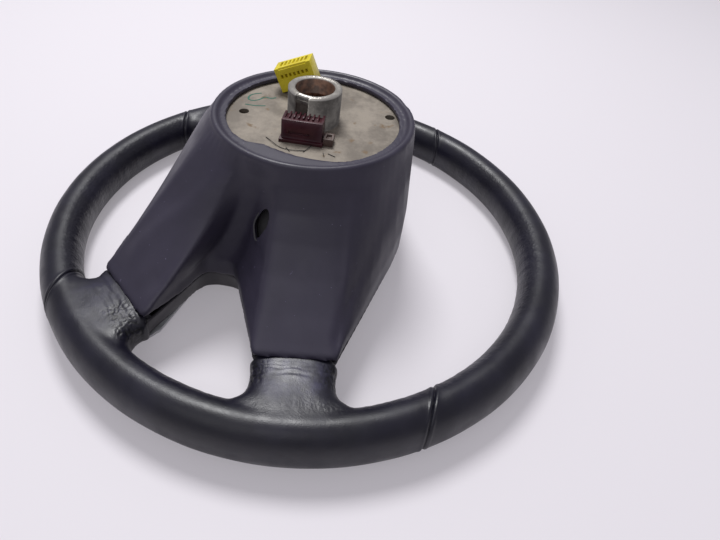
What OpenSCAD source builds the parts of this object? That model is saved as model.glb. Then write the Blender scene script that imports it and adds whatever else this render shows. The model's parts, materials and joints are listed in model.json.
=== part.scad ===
// Car steering wheel, lying on its driver's side with the column side up.
// +Z points to the steering column, +Y to 12 o'clock, z = 0 is the front of the rim.
// Clock angles run from 12 o'clock towards +X.

/* [Rim] */
// Outer diameter of the rim
rim_d = 370; // [350:1:390]
// Width of the grip, measured along the radius
grip_w = 26.6; // [24:0.2:30]
// Height of the grip, measured along the axis
grip_h = 34; // [30:0.5:38]
// Thickness of the leather
leather_t = 1.4; // [1:0.1:2]
// Diameter of the cast core inside the foam
core_d = 12; // [9:0.5:14]
// Clock angle of the upper leather seams at the middle of the grip
seam_up = 55.5; // [52:0.5:58]
// Clock angle of the lower leather seams at the middle of the grip
seam_low = 142; // [141:0.5:146]
// Degrees by which a seam leans across the grip
seam_lean = 10; // [0:1:12]

/* [Spokes] */
// Clock angle of the side spokes
side_angle = 82; // [78:0.5:84]
// Clock angle of the lower spokes
low_angle = 130.5; // [127:0.5:133]
// Length of the leather root on a side spoke, from the middle of the grip to the cover's end
side_root = 39.2; // [36:0.2:44]
// Length of the leather root on a lower spoke, from the middle of the grip to the cover's end
low_root = 30.2; // [28:0.2:34]
// Width of a side spoke where its cover ends
side_w = 48; // [42:0.5:52]
// Width of a lower spoke where its cover ends
low_w = 53.6; // [48:0.5:56]
// Height of the spoke's back above the table where its cover ends
root_top = 32.6; // [31:0.2:34]
// Height of the spoke's front above the table where its cover ends
root_low = 9; // [7:0.5:11]
// Radius of the fillet between a spoke and the rim
root_fillet = 13; // [8:0.5:15]

/* [Fork between the spokes] */
// Distance of the fork's end from the middle of the wheel, sideways
fork_x = 74.5; // [72:0.5:80]
// Distance of the fork's middle below the axis
fork_y = 42.5; // [40:0.5:45]
// Width of the fork's end
fork_w = 19; // [15:0.5:22]

/* [Rear cover] */
// Radius of the collar's crest
collar_r = 63.5; // [61:0.5:66]
// Height of the collar's crest
collar_z = 113.4; // [112:0.2:116]
// Height of the cover's lower edge
skirt_z = 28; // [27:0.5:30]
// Wall thickness of the cover
cover_t = 2.6; // [2:0.2:3]
// Half width of the flat behind 12 o'clock
crown_x = 24; // [18:1:28]
// Distance of the cover's back from the axis at 12 o'clock
crown_y = 71.5; // [70:0.5:74]
// Diameter of the two release holes
release_d = 8; // [6:0.5:9]

/* [Hub] */
// Height of the hub plate's column side
plate_z = 107.4; // [106:0.2:108]
// Thickness of the hub plate
plate_t = 6; // [5:0.5:8]
// Outer diameter of the hub boss
boss_d = 34; // [32:0.5:36]
// Height of the hub boss's top
boss_z = 129.6; // [126:0.2:132]
// Diameter of the mouth of the hub bore
mouth_d = 25; // [24:0.5:26]
// Depth of the plain mouth of the hub bore
mouth_deep = 10; // [8:0.5:12]
// Diameter over the roots of the splines
spline_d = 21; // [19:0.5:22]
// Number of spline teeth
spline_n = 36; // [24:1:40]
// Depth of a spline tooth
spline_deep = 0.9; // [0.6:0.1:1.2]
// Diameter of the two drive pin holes
drive_hole_d = 6.6; // [5:0.2:8]

/* [Airbag unit] */
// Radius of the horn pad
pad_r = 64; // [62:0.5:65]
// Height of the middle of the pad's face above the table
pad_low = 4.5; // [4:0.5:8]
// Height at which the pad's rim ends
pad_top = 27; // [25:0.5:28]
// Travel of the horn pad
pad_travel = 1.8; // [1:0.1:2]
// Radius of the airbag can
can_r = 46; // [42:0.5:47]
// Radius of the circle on which the guide pins stand
pin_circle_r = 58; // [57:0.5:58.5]
// Diameter of a guide pin
pin_d = 6; // [5:0.5:8]

/* [Front bezel] */
// Gap round the horn pad
pad_gap = 0.8; // [0.5:0.1:1.5]
// Height of the bezel's face over the hub
bezel_low = 8; // [7:0.5:10]
// Thickness of the bezel's wall
bezel_t = 2.4; // [2:0.2:3]
// Distance by which the bezel's wall draws in towards the driver
bezel_draw = 6; // [3:0.5:7]

/* [Hidden] */

// Clearance between pieces that don't touch, and the overlap that keeps cuts clean
fit = 0.3;
cut = 1;
rim_r = rim_d / 2 - grip_w / 2;
rim_z = grip_h / 2;
plate_low = plate_z - plate_t;
side_end_r = rim_r - side_root;
low_end_r = rim_r - low_root;

function polar(a, r) = [r * sin(a), r * cos(a)];
function ahead(a) = [cos(a), -sin(a)];
function unit(v) = v / norm(v);
function mix(a, b, t) = a + (b - a) * t;
function at_z(p, z) = [p[0], p[1], z];

// Rings of equal count make a closed solid. A loop of rings, which starts down its outer side, makes a tube
// closed on itself, and its faces are turned to look outwards.
function turned(v) = [for (i = [len(v) - 1:-1:0]) v[i]];
module loft(rings, loop = false) {
    m = len(rings[0]);
    k = len(rings);
    spans = loop ? k : k - 1;
    sides = [for (i = [0:spans - 1], j = [0:m - 1]) let (
        next = ((i + 1) % k) * m,
        quad = [i * m + j, i * m + (j + 1) % m, next + (j + 1) % m, next + j]) loop ? turned(quad) : quad];
    ends = loop ? [] : [[for (j = [m - 1:-1:0]) j], [for (j = [0:m - 1]) (k - 1) * m + j]];
    polyhedron([for (r = rings, p = r) p], concat(sides, ends), convexity = 8);
}

module at_clock(a) {
    rotate([0, 0, 90 - a]) children();
}

// The section of the grip, an oval. inset is measured inwards from the leather.
grip_n = 32;
module grip_section(inset) {
    a = grip_w / 2 - inset;
    b = grip_h / 2 - inset;
    polygon([for (i = [0:grip_n - 1]) let (t = i * 360 / grip_n) [rim_r + a * cos(t), rim_z + b * sin(t)]]);
}

module grip_ring(inset) {
    rotate_extrude($fn = 180) grip_section(inset);
}

// The root of a spoke, a rounded bar that swells into the rim
root_n = 24;
root_steps = 7;
root_square = 0.62;
root_stop = rim_r - 2;
root_swell = rim_r - grip_w / 2 - root_fillet;
function soft(v) = sign(v) * pow(abs(v), root_square);
function root_half(s, w) = s <= root_swell ? w / 2 :
    let (d = min(s - root_swell, root_fillet)) w / 2 + root_fillet - sqrt(pow(root_fillet, 2) - d * d);
function root_ring(angle, s, w, inset) = let (
    u = pow(max(0, (s - side_end_r) / (rim_r - side_end_r)), 2),
    h = root_half(s, w) - inset,
    top = mix(root_top, grip_h - 0.6, u) - inset,
    low = mix(root_low, 1.5, u) + inset)
    [for (i = [0:root_n - 1]) let (t = i * 360 / root_n)
        at_z(polar(angle, s) + ahead(angle) * h * soft(cos(t)),
             (top + low) / 2 + (top - low) / 2 * soft(sin(t)))];

module spoke_root(angle, w, start, inset, reach) {
    steps = [for (i = [0:root_steps]) mix(start, root_stop, i / root_steps)];
    places = concat(reach > 0 ? [start - reach] : [], steps);
    loft([for (s = places) root_ring(angle, s, w, inset)]);
}

// Both roots of one side, which is 1 or -1. reach starts them closer to the hub.
module side_roots(side, inset, reach = 0) {
    mirror([side < 0 ? 1 : 0, 0, 0]) {
        spoke_root(side_angle, side_w, side_end_r, inset, reach);
        spoke_root(low_angle, low_w, low_end_r, inset, reach);
    }
}

// The part of the rim between two seams, each given by its clock angle and its lean
module seam_wedge(a0, lean0, a1, lean1) {
    near = rim_r - 0.7 * grip_w;
    far = rim_r + 0.7 * grip_w;
    outer = 3 * rim_r;
    mid = (a0 + a1) / 2;
    translate([0, 0, -1]) linear_extrude(grip_h + 2)
        polygon([polar(a0 - lean0, near), polar(a0 + lean0, far), polar((a0 + mid) / 2, outer),
                 polar(mid, outer), polar((a1 + mid) / 2, outer), polar(a1 + lean1, far),
                 polar(a1 - lean1, near)]);
}

// The outline of the spokes' housing, which the rear cover and the front bezel share.
// It is listed for the right half by its corners, from 12 o'clock to 6 o'clock.
arc_n = 3;
function off_spoke(angle, r, side) = polar(angle, r) + ahead(angle) * side;
low_corner = off_spoke(low_angle, low_end_r, low_w / 2);
corners = [
    [0, crown_y],
    [crown_x, crown_y],
    off_spoke(side_angle, side_end_r, -side_w / 2),
    off_spoke(side_angle, side_end_r, side_w / 2),
    [fork_x, -fork_y + fork_w / 2],
    [fork_x, -fork_y - fork_w / 2],
    off_spoke(low_angle, low_end_r, -low_w / 2),
    low_corner,
    [0, low_corner[1]]];
corner_n = len(corners);
fillets = [0, 150, 3, 3, 7, 8, 3, 4, 0];
edge_steps = [1, 5, 3, 5, 2, 5, 3, 5, 0];

// The edges at the spokes' ends and the edge at 12 o'clock have insets of their own
function edge_inset(i, inset, end, top) = i == 2 || i == 6 ? end : i == 0 ? top : inset;
function corner_points(i, inset, end, top) = let (
    p = corners[i], u = unit(corners[i - 1] - p), v = unit(corners[i + 1] - p), w = unit(u + v),
    half = acos(u * v) / 2, side = cross(u, v) > 0 ? 1 : -1,
    m = [-u[1], u[0]], n = [v[1], -v[0]],
    before = edge_inset(i - 1, inset, end, top), after = edge_inset(i, inset, end, top),
    q = p + (before * [n[1], -n[0]] + after * [-m[1], m[0]]) / cross(m, n),
    r = side > 0 ? max(fillets[i] - inset, 0.6) : fillets[i] + inset,
    c = q + w * r / sin(half), e0 = q + u * r / tan(half) - c, e1 = q + v * r / tan(half) - c,
    start = atan2(e0[1], e0[0]), turn = atan2(cross(e0, e1), e0 * e1))
    [for (k = [0:arc_n - 1]) let (t = start + turn * k / (arc_n - 1)) c + r * [cos(t), sin(t)]];
function half_outline(inset, end, top) = let (
    arcs = [for (i = [0:corner_n - 1])
        i == 0 ? [corners[0] - [0, top]] :
        i == corner_n - 1 ? [corners[i] + [0, inset]] : corner_points(i, inset, end, top)])
    [for (i = [0:corner_n - 1]) each concat(arcs[i], i == corner_n - 1 ? [] :
        [for (k = [1:edge_steps[i]])
            mix(arcs[i][len(arcs[i]) - 1], arcs[i + 1][0], k / (edge_steps[i] + 1))])];
half_n = len(half_outline(0, 0, 0));
outline_n = 2 * half_n - 2;
function outline(inset, end, top) = let (h = half_outline(inset, end, top))
    concat(h, [for (j = [half_n - 2:-1:1]) [-h[j][0], h[j][1]]]);

// A value that changes along the outline, given at its corners
function corner_index(i) = i == 0 ? 0 : 1 + edge_steps[0] + (arc_n - 1) / 2 +
    (i == 1 ? 0 : sum([for (k = [1:i - 1]) arc_n + edge_steps[k]])) -
    (i == corner_n - 1 ? (arc_n - 1) / 2 : 0);
function sum(v, i = 0) = i < len(v) ? v[i] + sum(v, i + 1) : 0;
function along(j, keys) =
    lookup(j < half_n ? j : outline_n - j, [for (i = [0:corner_n - 1]) [corner_index(i), keys[i]]]);
hub_angles = [0, 22, 62, 96, 108, 113, 121, 146, 180];
function hub_angle(j, keys = hub_angles) = j < half_n ? along(j, keys) : 360 - along(j, keys);
function hub_ring(r, z, keys = hub_angles) =
    [for (j = [0:outline_n - 1]) at_z(polar(hub_angle(j, keys), r), z)];
function outline_ring(inset, end, top, z) = [for (p = outline(inset, end, top)) at_z(p, z)];

// Rear cover. Its wall runs from the collar's shoulder out to the outline and then down a skirt.
shoulder = 2.5;
end_gap = 0.4;
cover_drop = 2.2;
end_low = root_top + end_gap;
end_top = end_low + cover_drop + 0.6;
bow = [0.9, 1, 1.4, 1.6, 2.1, 2.1, 1.4, 1, 0.85];
skirt_tops = [50, 50, end_top, end_top, 42, 42, end_top, end_top, 36];
skirt_lows = [skirt_z, skirt_z, end_low, end_low, skirt_z, skirt_z, end_low, end_low, skirt_z];
skirt_lean = [0.02, 0.02, 0.02, 0.02, 0.03, 0.03, 0.02, 0.02, 0.11];
function wall_ring(t, inset, drop) = let (edge = outline(inset, inset, inset))
    [for (j = [0:outline_n - 1]) let (
        top = polar(hub_angle(j), collar_r + shoulder - inset),
        foot = mix(edge[j], top, along(j, skirt_lean)))
        at_z(mix(top, foot, pow(t, along(j, bow))),
             mix(collar_z - shoulder, along(j, skirt_tops), t) - drop)];
function skirt_ring(inset) = let (edge = outline(inset, inset, inset))
    [for (j = [0:outline_n - 1]) at_z(edge[j], along(j, skirt_lows))];

// The flange inside the collar rests on the hub plate and bulges beside the switch connector
flange_r = 56;
flange_low = plate_z + fit;
flange_top = collar_z - 2.6;
collar_lip = 0.6;
collar_in = collar_r - collar_lip;
function flange_reach(a) = lookup(a, [[60, 0], [80, 4], [92, 6], [105, 7.5], [117, 7.5], [127, 2], [140, 0]]);
function flange_ring(z) = [for (j = [0:outline_n - 1])
    at_z(polar(hub_angle(j), flange_r - flange_reach(hub_angle(j))), z)];

// Posts under the cover's wall take the screws that come up through the arms
post_r = 5;
post_seat = 21;
post_low = 39.4;
screw_d = 4;
screw_head_r = 3.8;
screw_gap = 0.2;
side_post_r = side_end_r - 20.5;
low_post_r = low_end_r - 29.5;
side_bow = (bow[2] + bow[3]) / 2;
low_bow = (bow[6] + bow[7]) / 2;
// The lower arms and posts stand aside from the fork
arm_w = 24;
fork_side = -(ahead(low_angle) * [fork_x, -fork_y - fork_w / 2]);
low_aside = arm_w / 2 + cover_t + 2 * fit - fork_side;
posts = [
    [side_angle, side_post_r, side_end_r, side_bow, 0],
    [low_angle, low_post_r, low_end_r, low_bow, low_aside]];
module both_sides() {
    for (half = [0, 1]) mirror([half, 0, 0]) children();
}
module at_post(p) {
    both_sides() at_clock(p[0]) translate([p[1], -p[4], 0]) children();
}
function wall_height(r, end_r, curve) = let (out = (r - collar_r - shoulder) / (end_r - collar_r - shoulder))
    mix(collar_z - shoulder, end_top, pow(out, 1 / curve));
function post_top(p, side) = wall_height(p[1] + side * post_r, p[2], p[3]) - cover_t / 2;
function screw_top(p) = post_top(p, 1) - 3;
module post(p) {
    low = post_top(p, 1);
    high = post_top(p, -1);
    at_post(p) difference() {
        translate([0, 0, post_low + fit]) cylinder(r = post_r, h = high - post_low, $fn = 48);
        translate([0, 0, (low + high) / 2]) rotate([0, atan((high - low) / (2 * post_r)), 0])
            translate([-3 * post_r, -3 * post_r, 0]) cube(6 * post_r);
    }
}
module post_hole(p) {
    at_post(p) translate([0, 0, post_low])
        cylinder(d = screw_d + screw_gap, h = screw_top(p) + 0.5 - post_low, $fn = 32);
}

release_angle = 105;
release_r = 77;
module cover_wall() {
    crest = 1.8;
    loft([
        hub_ring(collar_r, collar_z), hub_ring(collar_r + crest, collar_z - 0.8),
        for (t = [0, 0.14, 0.3, 0.48, 0.66, 0.84, 1]) wall_ring(t, 0, 0),
        skirt_ring(0), skirt_ring(cover_t),
        for (t = [1, 0.72, 0.45, 0.2]) wall_ring(t, cover_t, cover_drop),
        hub_ring(collar_in, flange_low), flange_ring(flange_low), flange_ring(flange_top),
        hub_ring(collar_r - crest - 0.8, flange_top - 0.4),
        hub_ring(collar_r - crest, collar_z - 0.8)], true);
}
module rear_cover() {
    color("#303236") difference() {
        union() {
            cover_wall();
            for (p = posts) post(p);
        }
        for (side = [-1, 1]) at_clock(side * release_angle) translate([release_r, 0, 0])
            cylinder(d = release_d, h = collar_z, $fn = 32);
        for (p = posts) post_hole(p);
    }
}

// Cast armature: hub plate, four ribbed arms, the core of the rim and the lugs for the guide pins
plate_r = 60;
rib_w = 6;
lug_r = 7.5;
bush_r = 5.5;
lug_angle = 106;
lug_place_r = pin_circle_r;
// The lugs leave room for the springs and the travel above the can's flange
flange_z = 33.7;
flange_t = 2;
contact_t = 0.5;
spring_room = 8;
lug_low = flange_z + flange_t + spring_room + pad_travel + contact_t;
lug_top = lug_low + 12;
lug_angles = [0, lug_angle, -lug_angle];
module at_lugs() {
    for (a = lug_angles) at_clock(a) translate([lug_place_r, 0, 0]) children();
}
module arm_slab(w, profile) {
    rotate([90, 0, 0]) translate([0, 0, -w / 2]) linear_extrude(w) polygon(profile);
}
// A point of an arm, by its share of the way from the plate to the rim, outwards and upwards
function arm_at(out, up) = [mix(plate_r, rim_r, out), mix(rim_z, plate_low, up)];
arm_back = [arm_at(0.01, 0.96), arm_at(0.09, 0.65), arm_at(0.32, 0.345), arm_at(0.61, 0.12)];
arm_front = [arm_at(0.59, 0.012), arm_at(0.27, 0.237), arm_at(0.02, 0.58), arm_at(-0.054, 0.912)];
rib_front = [
    arm_at(0.66, 0.035), arm_at(0.54, -0.035), arm_at(0.215, 0.178), arm_at(-0.027, 0.545),
    arm_at(-0.09, 0.89)];
module arm(p) {
    core_half = core_d / 3;
    under_plate = [
        [plate_r - 14, plate_low + cut], [plate_r - 14, plate_z - cut], [plate_r - 3, plate_z - cut]];
    in_core = [[rim_r, rim_z + core_half], [rim_r, rim_z - core_half]];
    both_sides() at_clock(p[0]) translate([0, -p[4], 0]) {
        arm_slab(arm_w, concat(under_plate, arm_back, in_core, arm_front));
        arm_slab(rib_w, concat([[plate_r - 10, plate_low + cut]], arm_back, rib_front));
        translate([p[1], 0, post_seat]) cylinder(r = post_r + 1, h = post_low - post_seat, $fn = 48);
    }
}
module arms() {
    for (p = posts) arm(p);
}
module rim_core() {
    rotate_extrude($fn = 180) translate([rim_r, rim_z]) circle(d = core_d, $fn = 32);
}

// Windows in the hub plate for the switch connector and for the airbag lead
switch_x = 25;
switch_y = -2;
switch_d = 11.4;
switch_w = 25;
lead_x = -38;
lead_y = -20;
lead_window_r = 8;
drive_holes = [[3, -45.6], [-17, 49]];
module plate() {
    translate([0, 0, plate_low]) cylinder(r = plate_r, h = plate_t, $fn = 128);
}
module pin_lugs() {
    web_low = 48;
    web_top = 56;
    at_lugs() translate([0, 0, lug_low]) cylinder(r = lug_r, h = lug_top - lug_low, $fn = 64);
    for (side = [-1, 1]) {
        translate([0, 0, web_low]) linear_extrude(web_top - web_low) polygon([
            polar(side * (lug_angle + 5), lug_place_r - 4), polar(side * (lug_angle + 4), lug_place_r + 5),
            polar(side * 92, 82), polar(side * 84, 78), polar(side * 92, 62),
            polar(side * 100, lug_place_r - 6)]);
        at_clock(side * 15) translate([lug_place_r - 1.4, -5, web_low + cut])
            cube([4.4, 10, plate_low - web_low]);
    }
    at_clock(0) translate([lug_place_r - 1.8, -17, web_low]) cube([4.4, 34, web_top - web_low]);
}
module armature() {
    color("#c9c6bb") difference() {
        union() {
            plate();
            arms();
            rim_core();
            pin_lugs();
        }
        translate([0, 0, plate_low - cut]) cylinder(d = boss_d, h = plate_t + 2 * cut, $fn = 96);
        for (h = drive_holes) translate([h[0], h[1], plate_low - cut])
            cylinder(d = drive_hole_d, h = plate_t + 2 * cut, $fn = 48);
        translate([switch_x - switch_d / 2 - fit, switch_y - switch_w / 2 - fit, plate_low - cut])
            cube([switch_d + 2 * fit, switch_w + 2 * fit, plate_t + 2 * cut]);
        translate([lead_x, lead_y, plate_low - cut])
            cylinder(r = lead_window_r, h = plate_t + 2 * cut, $fn = 64);
        at_lugs() cylinder(r = bush_r, h = lug_top + cut, $fn = 64);
        for (p = posts) at_post(p) {
            cylinder(d = screw_d + 2 * screw_gap, h = post_low + cut, $fn = 32);
            cylinder(r = screw_head_r + 0.8, h = post_seat, $fn = 32);
        }
    }
}

// Steel hub boss with a splined bore, cast into the plate
boss_low = 92;
boss_collar_r = switch_x - switch_d / 2 - fit;
module hub_boss() {
    tooth = 360 / spline_n;
    root_r = spline_d / 2;
    tip_r = root_r - spline_deep;
    color("#8f8c86") difference() {
        union() {
            translate([0, 0, boss_low]) cylinder(d = boss_d, h = boss_z - boss_low, $fn = 96);
            translate([0, 0, boss_low]) cylinder(r = boss_collar_r, h = plate_low - boss_low, $fn = 96);
        }
        translate([0, 0, boss_z - mouth_deep]) cylinder(d = mouth_d, h = mouth_deep + cut, $fn = 96);
        translate([0, 0, boss_low - cut]) linear_extrude(boss_z - boss_low) polygon([
            for (i = [0:spline_n - 1]) each [
                polar((i + 0.12) * tooth, root_r), polar((i + 0.38) * tooth, root_r),
                polar((i + 0.6) * tooth, tip_r), polar((i + 0.9) * tooth, tip_r)]]);
    }
}

module rim_foam() {
    color("#4a4a4a") difference() {
        union() {
            grip_ring(leather_t);
            side_roots(1, leather_t);
            side_roots(-1, leather_t);
        }
        rim_core();
        arms();
    }
}

// Leather in four panels, sewn at slanted seams
module leather_band(a0, lean0, a1, lean1) {
    intersection() {
        difference() {
            grip_ring(0);
            grip_ring(leather_t);
        }
        seam_wedge(a0, lean0, a1, lean1);
    }
}
module leather_side(side) {
    difference() {
        union() {
            mirror([side < 0 ? 1 : 0, 0, 0]) intersection() {
                grip_ring(0);
                seam_wedge(seam_up, seam_lean / 2, seam_low, -seam_lean / 2);
            }
            side_roots(side, 0);
        }
        grip_ring(leather_t);
        side_roots(side, leather_t, 2);
    }
}
module leather_top() {
    color("#1d1f23") leather_band(-seam_up, -seam_lean / 2, seam_up, seam_lean / 2);
}
module leather_bottom() {
    color("#1d1f23") leather_band(seam_low, -seam_lean / 2, 360 - seam_low, seam_lean / 2);
}
module leather_left() {
    color("#202226") leather_side(-1);
}
module leather_right() {
    color("#202226") leather_side(1);
}

// Screws that hold the rear cover's posts to the arms
module cover_screws() {
    head_h = 2.4;
    color("#b0b0b0") for (p = posts) at_post(p) translate([0, 0, post_seat - head_h]) {
        cylinder(r = screw_head_r, h = head_h, $fn = 32);
        cylinder(d = screw_d, h = screw_top(p) - post_seat + head_h, $fn = 32);
    }
}

// Front bezel: the front half of the spokes' housing, with a round window for the horn pad
bezel_top = skirt_z - 0.6;
window_r = pad_r + pad_gap;
module front_bezel() {
    joint = 0.6;
    inside = joint + bezel_t;
    face = joint + bezel_draw;
    // At 12 o'clock the wall draws in less, because the window comes close to it
    crown = crown_y - window_r - 2.7;
    keys = [0, 22, 62, 92, 110, 128, 134, 152, 180];
    color("#26282b") difference() {
        loft([
            hub_ring(window_r, bezel_low, keys), outline_ring(face + 1.5, joint, crown + 0.8, bezel_low),
            outline_ring(face - 0.6, joint, crown - 0.4, bezel_low + 1.4),
            outline_ring(joint + 1.2, joint, joint + 1.2, bezel_top - 4),
            outline_ring(joint, joint, joint, bezel_top),
            outline_ring(inside, inside, inside, bezel_top),
            outline_ring(inside + 1.2, inside, inside + 1.2, bezel_top - 4),
            outline_ring(face + bezel_t - 0.6, inside, crown + bezel_t - 0.4, bezel_low + bezel_t + 1.4),
            hub_ring(window_r, bezel_low + bezel_t, keys)], true);
        for (p = posts) both_sides() at_clock(p[0])
            translate([p[2] - 6, -p[4] - arm_w / 2 - 3, bezel_low + bezel_t]) cube([12, arm_w + 6, bezel_top]);
    }
}

// Bright trim on the front of a lower spoke, with a lip that turns up its inner edge
trim_t = 2;
module trim(side) {
    w = low_w / 2 - bezel_draw - 3;
    near = window_r + 25.2;
    far = low_end_r - 1.5;
    bend = 5;
    mirror([side < 0 ? 1 : 0, 0, 0]) translate([0, 0, bezel_low - trim_t]) at_clock(low_angle) {
        linear_extrude(trim_t) polygon([[near + bend, -w], [far, -w], [far, w], [near + bend, w],
                                        [near, w - bend], [near, bend - w]]);
        linear_extrude(trim_t + 0.1)
            polygon([[far - 14, w - 1], [far, w - 1], [far, w + 2], [far - 14, w + 1]]);
    }
}
module trim_left() {
    color("#c8cacc") trim(-1);
}
module trim_right() {
    color("#c8cacc") trim(1);
}

// Switch connector, which stands in its window in the plate
switch_top = 121.6;
switch_base = 2;
module switch_connector() {
    ribs = 8;
    pitch = (switch_w - 2) / ribs;
    slot_low = switch_top - 5;
    near_x = switch_x - switch_d / 2;
    near_y = switch_y - switch_w / 2;
    color("#4d1420") difference() {
        union() {
            translate([near_x, near_y, plate_low - 3]) cube([switch_d, switch_w, switch_top - plate_low + 3]);
            translate([near_x, near_y - 1, plate_z]) cube([switch_d + 2.4, switch_w + 2, switch_base]);
        }
        for (i = [0:ribs - 1]) translate([near_x - cut, near_y + 1.5 + i * pitch, switch_top - 1.6])
            cube([switch_d - 3 + cut, pitch - 1, 1.6 + cut]);
        translate([switch_x + 1, near_y + 4, slot_low]) cube([2.4, switch_w - 8, 5 + cut]);
        translate([switch_x + switch_d / 2 - 1.2, switch_y - 8, switch_top - 9.4]) cube([1.2 + cut, 13, 1.6]);
    }
}
module connector_latch() {
    color("#5b4640") translate([switch_x - 2, switch_y + switch_w / 2 + 1, plate_z]) difference() {
        cube([8, 6, 5]);
        translate([1.5, 1.5, 3.4]) cube([5, 3, 1.6 + cut]);
    }
}

// Airbag connector, tilted where it leans on the plate, and the lead that holds it
plug_d = 13;
plug_w = 26;
plug_h = 17;
plug_tilt = 23;
plug_place = [-36, -18.5, plate_z + 13.2];
module airbag_connector() {
    rows = 7;
    pitch = (plug_w - 5) / rows;
    color("#d8c51f") translate(plug_place) rotate([plug_tilt, 0, 0]) difference() {
        translate([-plug_d / 2, -plug_w / 2, -plug_h / 2]) cube([plug_d, plug_w, plug_h]);
        for (i = [0:rows - 1]) {
            y = -plug_w / 2 + 2.5 + (i + 0.2) * pitch;
            translate([plug_d / 2 - 3, y, 1]) cube([3 + cut, pitch * 0.6, 2.6]);
            translate([-plug_d / 2 + 2, y, plug_h / 2 - 4]) cube([plug_d - 6, pitch * 0.6, 4 + cut]);
        }
        translate([plug_d / 2 - 1.2, -plug_w / 2 + 3, plug_h / 2 - 1.2])
            cube([1.2 + cut, plug_w - 6, 1.2 + cut]);
    }
}

lead_d = 4;
inflator_top = 82;
lead_low = inflator_top + pad_travel + fit + lead_d / 2;
function below_plug(d) = plug_place + [0, sin(plug_tilt), -cos(plug_tilt)] * (plug_h / 2 + d) -
    [0, 3, 3 * tan(plug_tilt)];
lead_route = [below_plug(fit), below_plug(3.5), [lead_x, lead_y, plate_low], [-38, -21, 95],
              [-33, -20, 90], [-25, -16, lead_low + 1], [-14, -10, lead_low]];
module tube(route, d) {
    sides = 10;
    last = len(route) - 1;
    loft([for (i = [0:last]) let (
        way = unit(route[min(i + 1, last)] - route[max(i - 1, 0)]),
        across = unit(cross(way, [1, -1.6, 0])), over = cross(way, across))
        [for (k = [0:sides - 1]) let (t = -k * 360 / sides)
            route[i] + d / 2 * (cos(t) * across + sin(t) * over)]]);
}
module connector_lead() {
    color("#c2b02a") tube(lead_route, lead_d);
}

// Horn pad and what rides behind it
pad_t = 3;
can_flange_r = pin_circle_r + 4;
module horn_pad() {
    color("#25272a") rotate_extrude($fn = 180) polygon([
        [0, pad_low], [40, pad_low + 0.6], [53, pad_low + 2], [59.6, pad_low + 4.4], [pad_r - 1, pad_low + 9],
        [pad_r, pad_low + 13], [pad_r, pad_top], [pad_r - pad_t, pad_top], [pad_r - pad_t, pad_low + 13.5],
        [58, pad_low + 7.2], [52.6, pad_low + 5.2], [52.6, flange_z], [49.8, flange_z], [49.8, pad_low + 4.4],
        [38, pad_low + 3.6], [0, pad_low + pad_t]]);
}
can_top = 66;
can_t = 1.6;
inflator_r = 29;
cushion_top = 49.6;
module airbag_can() {
    color("#9a9c9e") difference() {
        rotate_extrude($fn = 128) polygon([
            [can_r - can_t, flange_z], [can_flange_r, flange_z], [can_flange_r, flange_z + flange_t],
            [can_r, flange_z + flange_t], [can_r, can_top - 3], [can_r - 3, can_top], [inflator_r, can_top],
            [inflator_r, can_top - can_t], [can_r - 3.6, can_top - can_t], [can_r - can_t, can_top - 3.6]]);
        at_lugs() cylinder(d = pin_d, h = can_top, $fn = 48);
    }
}
module airbag_cushion() {
    low = pad_low + pad_t + 4.5;
    r = can_r - can_t - 0.9;
    color("#d9d9d4") rotate_extrude($fn = 96) polygon([
        [0, low], [r - 3.5, low + 0.6], [r, low + 3], [r, cushion_top - 3.6],
        [r - 3.5, cushion_top], [0, cushion_top]]);
}
module inflator() {
    low = cushion_top + 0.4;
    neck = inflator_r - 5;
    flange = can_top - can_t;
    color("#b7b9bb") rotate_extrude($fn = 96) polygon([
        [0, low], [neck, low], [inflator_r, low + 3], [inflator_r, flange - 2.5],
        [inflator_r + 7, flange - 2.5], [inflator_r + 7, flange], [inflator_r, flange],
        [inflator_r, inflator_top - 4], [neck, inflator_top], [0, inflator_top]]);
}

// Guide pins on the can's flange, in bushes held by the lugs, with a hoop that keeps them in
pin_top = 66;
hoop_d = 1.4;
hoop_r = 54.8;
hoop_z = lug_top + hoop_d / 2 + 0.05;
module guide_pins() {
    groove_r = pin_d / 2 - 0.7;
    groove_low = lug_top - 0.4 - pad_travel;
    color("#a8aaac") at_lugs() rotate_extrude($fn = 48) polygon([
        [0, flange_z - 2.2], [5, flange_z - 2.2], [5, flange_z], [pin_d / 2, flange_z],
        [pin_d / 2, groove_low], [groove_r, groove_low], [groove_r, lug_top + 1.6], [pin_d / 2, lug_top + 1.6],
        [pin_d / 2, pin_top - 1], [pin_d / 2 - 1, pin_top], [0, pin_top]]);
}
module guide_bushes() {
    color("#e5e2d6") at_lugs() difference() {
        translate([0, 0, lug_low]) cylinder(r = bush_r, h = lug_top - lug_low, $fn = 64);
        cylinder(d = pin_d + 0.16, h = lug_top + cut, $fn = 48);
    }
}
module pin_clip() {
    color("#77797b") rotate_extrude($fn = 128) translate([hoop_r, hoop_z]) circle(d = hoop_d, $fn = 16);
}
module horn_contacts() {
    color("#c9a24a") at_lugs() translate([0, 0, lug_low - contact_t]) difference() {
        cylinder(r = 6.8, h = contact_t, $fn = 48);
        translate([0, 0, -cut]) cylinder(r = 3.6, h = contact_t + 2 * cut, $fn = 48);
    }
}

// A coil spring swept along its helix
spring_r = 4.8;
spring_wire = 1.1;
spring_turns = 4;
module spring(low, top) {
    steps = 12;
    sides = 6;
    rise = top - low - spring_wire;
    n = spring_turns * steps;
    loft([for (i = [0:n]) let (a = i * 360 / steps, z = low + spring_wire / 2 + rise * i / n)
        [for (k = [0:sides - 1]) let (b = -k * 360 / sides, r = spring_r + spring_wire / 2 * cos(b))
            [r * cos(a), r * sin(a), z + spring_wire / 2 * sin(b)]]]);
}
module horn_springs() {
    color("#6d6f71") at_lugs() spring(flange_z + flange_t + 0.05, lug_low - contact_t - 0.05);
}

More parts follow.
